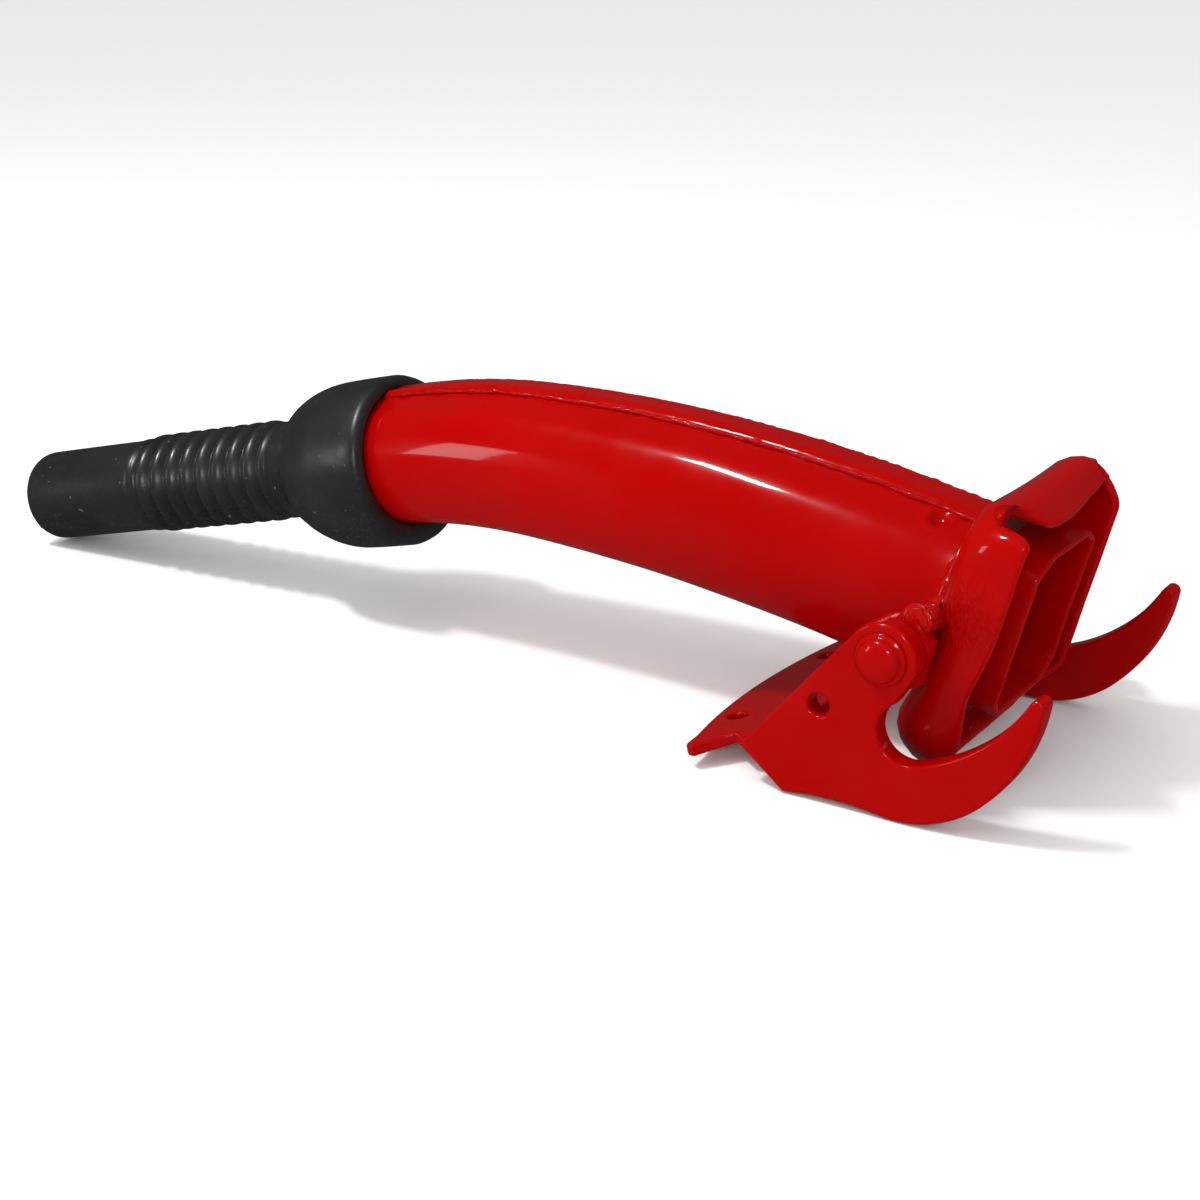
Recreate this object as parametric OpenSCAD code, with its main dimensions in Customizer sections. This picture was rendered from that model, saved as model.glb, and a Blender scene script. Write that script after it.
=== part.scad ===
// Pouring spout for a steel fuel can: a curved steel tube with a pressed collar and
// spigot, a hooked cam lever on two rivets, and a flexible rubber nozzle.
// +X points out of the mouth, +Z is up as the spout lies on a bench, and the origin is
// the middle of the lever's pivot axis.

/* [Spout tube] */
// Outer radius of the tube where it meets the collar
tube_r = 17.5; // [16.5:0.5:18]
// How much the radius shrinks from the collar to the nozzle
tube_taper = 3; // [2.5:0.1:3]
// Wall thickness of the tube
tube_wall = 1.5; // [1:0.1:2]
// Radius of the long gentle bend next to the collar
main_bend_r = 400; // [380:10:420]
// Radius of the tighter bend next to the nozzle
end_bend_r = 160; // [150:5:170]
// Angle by which the mouth points below level
mouth_tilt = 14; // [13:0.5:15]
// Angle by which the nozzle points below level
nozzle_tilt = 13.6; // [13:0.1:14]

/* [Collar and spigot] */
// Sheet thickness of the collar
collar_sheet = 2; // [1.5:0.1:2.2]
// Depth of the collar from its back to the front of its skirts
collar_depth = 13; // [12:0.5:14]
// Outer width of the spigot
spigot_w = 29; // [27:0.5:30]
// Outer height of the spigot
spigot_h = 33; // [31:0.5:33.5]
// Wall thickness of the spigot
spigot_wall = 1.3; // [1:0.1:1.6]

/* [Cam lever] */
// Width over the two arms
lever_w = 72; // [71:0.5:74]
// Thickness of each arm
arm_t = 4.4; // [4:0.1:4.5]
// Radius of the rounded pivot end of an arm
arm_end_r = 6.6; // [6.5:0.1:7]
// Thickness of the thumb plate
thumb_t = 2.4; // [2:0.1:2.8]
// Radius of the rivet shanks
rivet_r = 3; // [2.8:0.1:3.2]
// Radius of the domed rivet heads
rivet_head_r = 5; // [4.8:0.1:5.4]

/* [Rubber nozzle] */
// Outer radius of the sleeve that grips the tube
sleeve_r = 18.4; // [18:0.1:18.8]
// Outer radius of the ribs of the bellows
rib_r = 11.7; // [11.6:0.1:12]
// Number of ribs
rib_count = 8; // [8:1:8]
// Outer radius of the plain tip
tip_r = 10.9; // [10.7:0.1:11]
// Length from the sleeve's open rim to the end of the tip
nozzle_len = 116; // [115:1:117]

/* [Hidden] */
$fn = 72;

paint_red = [0.75, 0.01, 0.01];
rubber_black = [0.13, 0.13, 0.13];
gasket_red = [0.35, 0.05, 0.04];

// Clearances
joint_gap = 0.05;
side_gap = 0.2;
press_gap = 0.01;

// Mouth frame: distances along the mouth's axis and heights across it
collar_back = 2.5;
seat_d = collar_back + collar_sheet;
collar_front = collar_back + collar_depth;
spigot_front = 16;
spigot_mid_h = 2.7;
tube_mid_h = 1;

// Tube sweep
ring_sides = 36;
ring_step = 360 / ring_sides;
ring_count = 18;
main_len = main_bend_r * mouth_tilt * PI / 180;
end_len = end_bend_r * nozzle_tilt * PI / 180;
bend_len = main_len + end_len;
plug_len = 22;
tube_len = bend_len + plug_len;

// Points on the centreline, from the collar back to the nozzle
mouth_x = collar_back * cos(mouth_tilt) + tube_mid_h * sin(mouth_tilt);
mouth_z = tube_mid_h * cos(mouth_tilt) - collar_back * sin(mouth_tilt);
crest_x = mouth_x - main_bend_r * sin(mouth_tilt);
crest_z = mouth_z + main_bend_r * (1 - cos(mouth_tilt));
rim_x = crest_x - end_bend_r * sin(nozzle_tilt);
rim_z = crest_z - end_bend_r * (1 - cos(nozzle_tilt));

// Slope, position and radius of the centreline at a distance s from the collar
function slope_at(s) = s < main_len ? -mouth_tilt + s / main_bend_r * 180 / PI
    : min(nozzle_tilt, (s - main_len) / end_bend_r * 180 / PI);
function centre_at(s) =
    s < main_len ? [crest_x + main_bend_r * sin(-slope_at(s)),
        crest_z - main_bend_r * (1 - cos(slope_at(s)))]
    : s < bend_len ? [crest_x - end_bend_r * sin(slope_at(s)),
        crest_z - end_bend_r * (1 - cos(slope_at(s)))]
    : [rim_x - (s - bend_len) * cos(nozzle_tilt), rim_z - (s - bend_len) * sin(nozzle_tilt)];
function radius_at(s) = tube_r - tube_taper * pow(min(s, bend_len) / bend_len, 2);

// A point at an angle round the tube, 90 degrees being its top
function skin_point(s, r, a) = let (c = centre_at(s), t = slope_at(s))
    [c[0] - r * sin(a) * sin(t), r * cos(a), c[1] + r * sin(a) * cos(t)];

// Closed skin through rings of equal numbers of points, with flat ends
module loft(rings) {
    sides = len(rings[0]);
    last = len(rings) - 1;
    polyhedron(
        points = [for (ring = rings) each ring],
        faces = concat(
            [[for (i = [0 : sides - 1]) i]],
            [for (k = [0 : last - 1], i = [0 : sides - 1]) let (j = (i + 1) % sides)
                [k * sides + i, (k + 1) * sides + i, (k + 1) * sides + j, k * sides + j]],
            [[for (i = [sides - 1 : -1 : 0]) last * sides + i]]));
}

// Solid swept along the tube from s0 to s1, inset from its outer skin
module tube_solid(inset, s0, s1) {
    loft([for (k = [0 : ring_count]) let (s = s0 + (s1 - s0) * k / ring_count)
        [for (i = [0 : ring_sides - 1]) skin_point(s, radius_at(s) - inset, 90 - i * ring_step)]]);
}

// Points of a circular arc from p to q, bulging by sag to the left of the line p to q
function bow(p, q, sag, n = 12) = let (
        chord = norm(q - p),
        along = (q - p) / chord,
        left = [-along[1], along[0]],
        half = 2 * atan(2 * sag / chord),
        r = chord / 2 / sin(half))
    [for (i = [0 : n]) let (a = half * (2 * i / n - 1))
        (p + q) / 2 + along * r * sin(a) + left * r * (cos(a) - cos(half))];

// Points of an arc about a centre
function arc(c, r, a0, a1, n = 12) =
    [for (i = [0 : n]) let (a = a0 + (a1 - a0) * i / n) c + r * [cos(a), sin(a)]];

// Rounds each corner of a closed outline with an arc
function unit(v) = v / norm(v);
function rounded(pts, r, n = 5) = let (count = len(pts))
    [for (i = [0 : count - 1]) let (
            b = unit(pts[(i + count - 1) % count] - pts[i]),
            f = unit(pts[(i + 1) % count] - pts[i]),
            half = acos(b * f) / 2,
            cut = r / tan(half))
        each bow(pts[i] + b * cut, pts[i] + f * cut,
            r * (1 - sin(half)) * sign(f[1] * b[0] - f[0] * b[1]), n)];

// Mirrors one side's outline, given from top to bottom, into a closed outline
function both_sides(right) = concat(right,
    [for (i = [len(right) - 1 : -1 : 0]) [-right[i][0], right[i][1]]]);

// The mouth frame: X along the mouth's axis, Y across, Z up its face
module in_mouth() {
    rotate([0, mouth_tilt, 0]) children();
}

// Extrudes an outline drawn as (across, up) along the mouth's axis
module mouth_slab(from_d, to_d) {
    in_mouth() translate([from_d, 0, 0]) rotate([90, 0, 90]) linear_extrude(to_d - from_d) children();
}

// Collar outline; inset gives its inner side
collar_half_w = 26;
collar_top = 29;
collar_bottom = -24;
top_chamfer = 6;
bottom_chamfer = 7;
collar_corner_r = 7;
function collar_outline(inset) = let (
        w = collar_half_w - inset, t = collar_top - inset, b = collar_bottom + inset)
    rounded(both_sides([[w - top_chamfer, t], [w, t - top_chamfer],
        [w, b + bottom_chamfer], [w - bottom_chamfer, b]]), collar_corner_r - inset);

// Spigot outline; inset gives its bore
function spigot_outline(inset) = let (w = spigot_w / 2 - inset, h = spigot_h / 2 - inset)
    [for (p = rounded(both_sides(
            [[w - 5.5, h], [w, h - 3], [w, 4 - h], [w - 3.5, -h]]), 2.5 - inset / 2))
        p + [0, spigot_mid_h]];

module spout_tube() {
    color(paint_red) difference() {
        tube_solid(0, 0, tube_len);
        tube_solid(tube_wall, -1, tube_len + 1);
    }
}

// Pressed strip over the air passage that runs along the top of the tube
strip_steps = 2;
strip_rise = 1.2;
module breather_channel() {
    strip_end = bend_len - 0.5;
    color(paint_red) loft([for (k = [0 : ring_count]) let (
            s = 0.3 + (strip_end - 0.3) * k / ring_count,
            r = radius_at(s) + joint_gap)
        concat(
            [for (i = [-strip_steps : strip_steps]) skin_point(s, r, 90 + i * ring_step)],
            [for (i = [strip_steps : -1 : -strip_steps])
                skin_point(s, r + strip_rise, 90 + i * ring_step * 0.75)])]);
}

// Pressed cup: a back plate with skirts at the sides, top and bottom. A slot parts the top
// skirt from each side skirt, and the bottom skirt is cut lower between the corners.
slot_w = 5;
slot_start_d = 8;
slot_at = [21, 28];
slot_reach = 6;
bottom_skirt_d = 11;
bottom_cut_half_w = 19;
bottom_cut_top = -18;
module collar_cup() {
    color(paint_red) difference() {
        mouth_slab(collar_back, collar_front) polygon(collar_outline(0));
        mouth_slab(seat_d, collar_front + 1) polygon(collar_outline(collar_sheet));
        mouth_slab(collar_back - 1, collar_front) polygon(spigot_outline(spigot_wall));
        in_mouth() for (side = [-1, 1]) translate([slot_start_d, side * slot_at[0], slot_at[1]])
            rotate([side * -45, 0, 0]) translate([0, -slot_w / 2, -slot_reach])
                cube([collar_front, slot_w, 2 * slot_reach]);
        in_mouth() translate([bottom_skirt_d, -bottom_cut_half_w, 2 * bottom_cut_top])
            cube([collar_front, 2 * bottom_cut_half_w, -bottom_cut_top]);
    }
}

module mouth_spigot() {
    color(paint_red) difference() {
        mouth_slab(seat_d + joint_gap, spigot_front) polygon(spigot_outline(0));
        mouth_slab(seat_d - 1, spigot_front + 1) polygon(spigot_outline(spigot_wall));
    }
}

gasket_t = 2.5;
gasket_gap = 0.3;
module mouth_gasket() {
    front = seat_d + joint_gap + gasket_t;
    color(gasket_red) difference() {
        mouth_slab(seat_d + joint_gap, front) polygon(collar_outline(collar_sheet + gasket_gap));
        mouth_slab(seat_d - 1, front + 1) polygon(spigot_outline(-gasket_gap));
    }
}

// Angle bracket: a foot on the collar's back and an ear that holds the rivet, side = -1 on the right
arm_in_y = lever_w / 2 - arm_t;
lug_out_y = arm_in_y - side_gap;
lug_t = 3;
lug_half_h = 7.5;
foot_in_y = 20;
ear_back = -9;
ear_front = 6.5;
ear_nose_h = 4;
module pivot_lug(side) {
    lug_in_y = lug_out_y - lug_t;
    foot_front = collar_back - joint_gap;
    foot_back = foot_front - lug_t;
    plan = [[ear_back, lug_in_y], [ear_back, lug_out_y], [ear_front, lug_out_y], [ear_front, lug_in_y],
        [foot_front, lug_in_y], [foot_front, foot_in_y], [foot_back, foot_in_y], [foot_back, lug_in_y]];
    color(paint_red) in_mouth() difference() {
        intersection() {
            linear_extrude(30, center = true) polygon([for (p = plan) [p[0], side * p[1]]]);
            rotate([90, 0, 0]) linear_extrude(80, center = true) polygon(concat(
                arc([0, 0], arm_end_r - 0.4, 90, 270, 24),
                [[foot_front, -lug_half_h], [ear_front, -ear_nose_h], [ear_front, ear_nose_h],
                [foot_front, lug_half_h]]));
        }
        translate([0, side * lug_out_y, 0]) rotate([90, 0, 0])
            cylinder(r = rivet_r + press_gap, h = 2 * lug_t, center = true);
    }
}

// Rivet with a domed outer head and a shank through arm and ear, upset flush inside
rivet_dome = 2.8;
module rivet(side) {
    head_y = lever_w / 2 + joint_gap;
    dome_r = (rivet_head_r * rivet_head_r + rivet_dome * rivet_dome) / (2 * rivet_dome);
    flush_y = lug_out_y - lug_t + joint_gap;
    color(paint_red) rotate([side * -90, 0, 0]) {
        translate([0, 0, flush_y]) cylinder(r = rivet_r, h = head_y - flush_y + 1);
        intersection() {
            translate([0, 0, head_y + rivet_dome - dome_r]) sphere(dome_r);
            translate([0, 0, head_y]) cylinder(r = rivet_head_r, h = rivet_dome + 1);
        }
    }
}

// Side profile of an arm: pivot end, throat, hook and the corner that carries the thumb plate
throat_c = [5.6, -13];
throat_r = 5.8;
hook_tip = [30, -3.2];
hook_knee = [20.5, -22.6];
hook_foot = [2.6, -30];
hole_at = [-11.7, -11.2];
hole_r = 2.1;
module arm_profile() {
    outline = concat(
        arc([0, 0], arm_end_r, 140, -22, 24),
        arc(throat_c, throat_r, 118, 280, 18),
        bow([8.4, -18.2], [27.2, -2.4], -2.2, 10),
        bow([27.8, -1.6], hook_tip, 0.9, 6),
        bow(hook_tip, hook_knee, 1.8, 12),
        bow(hook_knee, hook_foot, 2.15, 12),
        bow(hook_foot, [-14.4, -29.3], -0.5, 6),
        [[-18.4, -29.9], [-27.6, -22.6]]);
    difference() {
        polygon(outline);
        translate(hole_at) circle(hole_r);
        circle(rivet_r + joint_gap);
    }
}

module cam_arm(side) {
    color(paint_red) translate([0, side * (lever_w / 2 - (side > 0 ? 0 : arm_t)), 0])
        rotate([90, 0, 0]) linear_extrude(arm_t) arm_profile();
}

// Thumb plate between the arms, with a relief notch beside each and a bowed rear edge
thumb_tilt = 13;
thumb_hinge = [-27.8, -22.9];
thumb_hole_at = [-9.6, 19];
module thumb_plate() {
    inner = arm_in_y - joint_gap;
    outer = lever_w / 2;
    outline = concat(
        [[6, -inner], [6, inner], [-1.5, inner], [-5, inner - 3]],
        bow([-9.8, outer], [-12, outer - 2], -0.7, 4),
        bow([-12.4, outer - 6], [-12.4, 6 - outer], -3.6, 16),
        bow([-12, 2 - outer], [-9.8, -outer], -0.7, 4),
        [[-5, 3 - inner], [-1.5, -inner]]);
    color(paint_red) translate([thumb_hinge[0], 0, thumb_hinge[1]]) rotate([0, -thumb_tilt, 0])
        translate([0, 0, -thumb_t]) linear_extrude(thumb_t) difference() {
            polygon(outline);
            for (side = [-1, 1]) translate([thumb_hole_at[0], side * thumb_hole_at[1]])
                circle(hole_r);
        }
}

// Nozzle frame: Z runs from the sleeve's rim to the tip
module in_nozzle() {
    translate([rim_x, 0, rim_z]) rotate([0, -90 - nozzle_tilt, 0]) children();
}

grip_gap = 0.1;
grip_r = tube_r - tube_taper + grip_gap;
bore_r = 8.9;
base_end = 36.4;
rib_pitch = 5.08;
rib_start = 38.8;
root_r = rib_r - 1.3;
bend_at = rib_start + rib_pitch * 3.5;

module nozzle_sleeve() {
    color(rubber_black) in_nozzle() rotate_extrude() polygon(concat(
        [[grip_r + 0.5, -1.2]],
        bow([sleeve_r - 1.2, -1.2], [sleeve_r, 0.6], -0.5, 6),
        [[sleeve_r, 11]],
        bow([sleeve_r - 0.2, 13], [13.4, base_end - 8], -2.4, 10),
        [[12, base_end - 5], [root_r, base_end - 2.5], [root_r, base_end], [bore_r, base_end],
            [bore_r, 27], [grip_r, 23], [grip_r, 0.5]]));
}

// Half of the ribbed wall, with the ribs numbered from first to last
module ribs(first, last) {
    for (i = [first : last]) translate([0, 0, rib_start + i * rib_pitch]) rotate_extrude()
        polygon(concat([[bore_r + 0.2, -1.7]],
            bow([root_r - 0.2, -1.7], [root_r - 0.2, 1.7], -1.4, 8),
            [[bore_r + 0.2, 1.7]]));
}

// The bellows bend about the middle, where a ball end turns inside a cup
ball_r = 10.6;
cup_gap = 0.15;
cup_len = 9;
module bellows_base() {
    color(rubber_black) in_nozzle() difference() {
        union() {
            translate([0, 0, base_end]) cylinder(r = root_r, h = bend_at - base_end);
            ribs(0, 3);
            translate([0, 0, bend_at - cup_len]) cylinder(r = rib_r, h = cup_len);
        }
        translate([0, 0, base_end - 1]) cylinder(r = bore_r, h = bend_at);
        translate([0, 0, bend_at]) sphere(ball_r + cup_gap);
    }
}

neck_start = 4.9;
ball_back = 3.5;
tip_start = 77.6;
module bellows_end() {
    color(rubber_black) in_nozzle() difference() {
        union() {
            intersection() {
                translate([0, 0, bend_at]) sphere(ball_r);
                translate([0, 0, bend_at - ball_back])
                    cylinder(r = ball_r, h = ball_back + neck_start);
            }
            translate([0, 0, bend_at + neck_start - 1]) cylinder(r = bore_r + 0.8, h = 2);
            translate([0, 0, bend_at + neck_start])
                cylinder(r = root_r, h = tip_start - bend_at - neck_start);
            ribs(5, rib_count - 1);
        }
        translate([0, 0, bend_at - ball_r]) cylinder(r = bore_r - 0.5, h = nozzle_len - bend_at);
    }
}

module nozzle_tip() {
    lip = 1.5;
    color(rubber_black) in_nozzle() rotate_extrude() polygon(concat(
        [[bore_r, tip_start + joint_gap], [tip_r, tip_start + joint_gap]],
        [[tip_r, nozzle_len - lip]],
        bow([tip_r, nozzle_len - lip], [tip_r - lip, nozzle_len], -0.4, 6),
        [[bore_r, nozzle_len]]));
}

spout_tube();
breather_channel();
collar_cup();
mouth_spigot();
mouth_gasket();
pivot_lug(-1);  // pivot_lug_right
pivot_lug(1);  // pivot_lug_left
rivet(-1);  // rivet_right
rivet(1);  // rivet_left
cam_arm(-1);  // cam_arm_right
cam_arm(1);  // cam_arm_left
thumb_plate();
nozzle_sleeve();
bellows_base();
bellows_end();
nozzle_tip();
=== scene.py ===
"""Looks for a fuel-can pouring spout: red gloss paint over pressed steel, and a ribbed rubber nozzle."""
import math

import bpy
import bmesh
from mathutils import Matrix, Vector, noise


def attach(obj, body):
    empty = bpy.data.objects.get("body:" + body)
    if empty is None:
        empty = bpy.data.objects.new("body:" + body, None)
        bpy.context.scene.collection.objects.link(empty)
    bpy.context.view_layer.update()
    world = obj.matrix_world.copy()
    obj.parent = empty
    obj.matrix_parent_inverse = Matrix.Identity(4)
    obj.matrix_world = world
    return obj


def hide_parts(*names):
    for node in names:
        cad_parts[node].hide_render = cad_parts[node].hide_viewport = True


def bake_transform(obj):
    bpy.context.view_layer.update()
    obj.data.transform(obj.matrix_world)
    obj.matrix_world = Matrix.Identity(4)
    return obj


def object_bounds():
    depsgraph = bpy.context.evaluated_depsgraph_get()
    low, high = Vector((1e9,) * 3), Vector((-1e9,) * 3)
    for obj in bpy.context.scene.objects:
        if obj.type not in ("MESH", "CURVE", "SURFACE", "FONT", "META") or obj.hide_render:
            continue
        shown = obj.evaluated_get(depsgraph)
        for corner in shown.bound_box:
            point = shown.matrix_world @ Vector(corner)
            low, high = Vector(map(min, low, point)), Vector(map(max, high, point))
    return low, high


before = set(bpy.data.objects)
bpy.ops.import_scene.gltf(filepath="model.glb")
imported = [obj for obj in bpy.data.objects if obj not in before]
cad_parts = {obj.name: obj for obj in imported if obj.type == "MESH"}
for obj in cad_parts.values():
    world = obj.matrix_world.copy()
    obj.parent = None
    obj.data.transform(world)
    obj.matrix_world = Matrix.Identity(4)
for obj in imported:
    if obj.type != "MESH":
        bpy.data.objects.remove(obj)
cad_low, cad_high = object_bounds()

MM = 0.001
rad = math.radians


# ---------------------------------------------------------------- driving sizes, in millimetres and degrees
# Slopes of the mouth and the nozzle from the level
MOUTH_TILT = 14.0
NOZZLE_TILT = 13.6
# Tube: the radii of its two bends, its own radius at the collar, and how much that shrinks by the rim
MAIN_BEND_R = 400.0
END_BEND_R = 160.0
TUBE_R = 17.5
TUBE_TAPER = 3.0
TUBE_WALL = 1.5
# Collar: depths are from the pivot axis along the mouth, heights and widths are across it
COLLAR_BACK = 2.5
SHEET = 2.0
SEAT_D = COLLAR_BACK + SHEET
COLLAR_FRONT = 15.5
COLLAR_HALF_W = 26.0
COLLAR_TOP = 29.0
COLLAR_BOTTOM = -24.0
COLLAR_TOP_CHAMFER = 6.0
COLLAR_BOTTOM_CHAMFER = 7.0
COLLAR_CORNER_R = 7.0
# Spigot
SPIGOT_FRONT = 16.0
SPIGOT_MID_H = 2.7
SPIGOT_HALF_W = 14.5
SPIGOT_HALF_H = 16.5
SPIGOT_WALL = 1.3
# Lever: arms, holes and thumb plate
ARM_OUT_Y = 36.0
ARM_T = 4.4
ARM_END_R = 6.6
HOLE_R = 2.1
ARM_HOLE_AT = (-11.7, -11.2)
THUMB_T = 2.4
THUMB_TILT = 13.0
THUMB_HINGE = (-27.8, -22.9)
THUMB_HOLE_X = -9.6
THUMB_HOLE_Y = 19
# Rivets: a flanged head with a dome, and a shank that ends inside the lug's ear
RIVET_HEAD_R = 5.0
RIVET_DOME = 2.8
RIVET_DOME_R = 4.1
RIVET_SHANK_R = 3.0
RIVET_END = -7.55
# Nozzle: distances are along it from the sleeve's rim
SLEEVE_R = 18.4
GRIP_R = 14.6
RIB_R = 11.7
RIB_COUNT = 8
RIB_START = 38.8
RIB_PITCH = 5.08
TIP_R = 10.9
TIP_START = 77.6
BORE_R = 8.9
NOZZLE_LEN = 116.0

SIDES = ((-1, "right"), (1, "left"))

# Centreline of the tube: a long bend from the mouth to the crest, then a tighter one to the rim
MAIN_LEN = MAIN_BEND_R * rad(MOUTH_TILT)
END_LEN = END_BEND_R * rad(NOZZLE_TILT)
BEND_LEN = MAIN_LEN + END_LEN
MOUTH_X = COLLAR_BACK * math.cos(rad(MOUTH_TILT)) + math.sin(rad(MOUTH_TILT))
MOUTH_Z = math.cos(rad(MOUTH_TILT)) - COLLAR_BACK * math.sin(rad(MOUTH_TILT))
CREST_X = MOUTH_X - MAIN_BEND_R * math.sin(rad(MOUTH_TILT))
CREST_Z = MOUTH_Z + MAIN_BEND_R * (1 - math.cos(rad(MOUTH_TILT)))
RIM_X = CREST_X - END_BEND_R * math.sin(rad(NOZZLE_TILT))
RIM_Z = CREST_Z - END_BEND_R * (1 - math.cos(rad(NOZZLE_TILT)))


def slope_at(s):
    """Slope of the centreline, in radians, at a distance s from the collar."""
    if s < MAIN_LEN:
        return -rad(MOUTH_TILT) + s / MAIN_BEND_R
    return min(rad(NOZZLE_TILT), (s - MAIN_LEN) / END_BEND_R)


def centre_at(s):
    """(x, z) of the centreline at a distance s from the collar."""
    t = slope_at(s)
    if s < MAIN_LEN:
        return CREST_X + MAIN_BEND_R * math.sin(-t), CREST_Z - MAIN_BEND_R * (1 - math.cos(t))
    if s < BEND_LEN:
        return CREST_X - END_BEND_R * math.sin(t), CREST_Z - END_BEND_R * (1 - math.cos(t))
    past = s - BEND_LEN
    return RIM_X - past * math.cos(t), RIM_Z - past * math.sin(t)


def radius_at(s):
    """The tube's plain outer radius at a distance s from the collar."""
    return TUBE_R - TUBE_TAPER * (max(0, min(s, BEND_LEN)) / BEND_LEN) ** 2


def on_tube(s, r, a):
    """A point in metres at radius r and angle a round the tube; 90 degrees is its top."""
    x, z = centre_at(s)
    t = slope_at(s)
    up = r * math.sin(a)
    return Vector((x - up * math.sin(t), r * math.cos(a), z + up * math.cos(t))) * MM


def in_mouth(d, y, h):
    """A point in metres from a depth along the mouth's axis, a place across it and a height up it."""
    c, s = math.cos(rad(MOUTH_TILT)), math.sin(rad(MOUTH_TILT))
    return Vector((d * c + h * s, y, h * c - d * s)) * MM


def in_nozzle(d, r, a):
    """A point in metres on the nozzle, d along it from the sleeve's rim."""
    c, s = math.cos(rad(NOZZLE_TILT)), math.sin(rad(NOZZLE_TILT))
    up = r * math.sin(a)
    return Vector((RIM_X - d * c - up * s, r * math.cos(a), RIM_Z - d * s + up * c)) * MM


# ---------------------------------------------------------------- outlines
def bow(p, q, sag, n=12):
    """Points of a circular arc from p to q that bulges by sag to the left."""
    px, py = p
    qx, qy = q
    chord = math.hypot(qx - px, qy - py)
    ax, ay = (qx - px) / chord, (qy - py) / chord
    half = 2 * math.atan(2 * sag / chord)
    r = chord / 2 / math.sin(half)
    points = []
    for i in range(n + 1):
        a = half * (2 * i / n - 1)
        u, v = r * math.sin(a), r * (math.cos(a) - math.cos(half))
        points.append(((px + qx) / 2 + ax * u - ay * v, (py + qy) / 2 + ay * u + ax * v))
    return points


def arc(cx, cy, r, a0, a1, n=12):
    """Points of an arc about (cx, cy), between two angles in degrees."""
    steps = (rad(a0 + (a1 - a0) * i / n) for i in range(n + 1))
    return [(cx + r * math.cos(a), cy + r * math.sin(a)) for a in steps]


def rounded(points, r, n=6):
    """Rounds each corner of a closed outline with an arc of radius r."""
    out = []
    for i, p in enumerate(points):
        p = Vector(p)
        back = (Vector(points[i - 1]) - p).normalized()
        ahead = (Vector(points[(i + 1) % len(points)]) - p).normalized()
        half = math.acos(max(-1, min(1, back.dot(ahead)))) / 2
        cut = r / math.tan(half)
        turn = 1 if ahead.y * back.x - ahead.x * back.y > 0 else -1
        out += bow(p + back * cut, p + ahead * cut, r * (1 - math.sin(half)) * turn, n)
    return out


def both_sides(right):
    """The right half of an outline and its mirror image."""
    return right + [(-x, y) for x, y in reversed(right)]


def evenly(points, count):
    """The same closed outline with count evenly spaced points."""
    pts = [Vector(p) for p in points] + [Vector(points[0])]
    runs = [(b - a).length for a, b in zip(pts, pts[1:])]
    step = sum(runs) / count
    out, k, gone = [], 0, 0.0
    for i in range(count):
        want = i * step
        while gone + runs[k] < want:
            gone += runs[k]
            k += 1
        t = (want - gone) / runs[k] if runs[k] else 0
        out.append(pts[k].lerp(pts[k + 1], t))
    return out


def collar_outline():
    w, t, b = COLLAR_HALF_W, COLLAR_TOP, COLLAR_BOTTOM
    top, low = COLLAR_TOP_CHAMFER, COLLAR_BOTTOM_CHAMFER
    return rounded(both_sides([(w - top, t), (w, t - top), (w, b + low), (w - low, b)]), COLLAR_CORNER_R)


SPIGOT_TOP_CHAMFER = (5.5, 3)
SPIGOT_BOTTOM_CHAMFER = (3.5, 4)
SPIGOT_CORNER_R = 2.5


def spigot_outline(inset):
    w, h = SPIGOT_HALF_W - inset, SPIGOT_HALF_H - inset
    top, low = SPIGOT_TOP_CHAMFER, SPIGOT_BOTTOM_CHAMFER
    corners = [(w - top[0], h), (w, h - top[1]), (w, low[1] - h), (w - low[0], -h)]
    shape = rounded(both_sides(corners), SPIGOT_CORNER_R)
    return [(x, y + SPIGOT_MID_H) for x, y in shape]


# ---------------------------------------------------------------- mesh helpers
def object_from(name, mesh, material, body):
    """A smooth-shaded piece in one material, riding on a body of the frame."""
    obj = bpy.data.objects.new(name, mesh)
    bpy.context.scene.collection.objects.link(obj)
    mesh.materials.clear()
    mesh.materials.append(material)
    for face in mesh.polygons:
        face.use_smooth = True
    if body:
        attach(obj, body)
    return obj


def loft(name, rings, material, body, closed_loop=False, capped=False):
    """A skin through rings of equal numbers of points. A closed loop joins the last ring to the first."""
    bm = bmesh.new()
    rows = [[bm.verts.new(p) for p in ring] for ring in rings]
    pairs = list(zip(rows, rows[1:]))
    if closed_loop:
        pairs.append((rows[-1], rows[0]))
    sides = len(rings[0])
    for a, b in pairs:
        for i in range(sides):
            j = (i + 1) % sides
            bm.faces.new((a[i], a[j], b[j], b[i]))
    if capped:
        bm.faces.new(rows[0])
        bm.faces.new(rows[-1])
    bmesh.ops.recalc_face_normals(bm, faces=bm.faces)
    mesh = bpy.data.meshes.new(name)
    bm.to_mesh(mesh)
    bm.free()
    return object_from(name, mesh, material, body)


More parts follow.
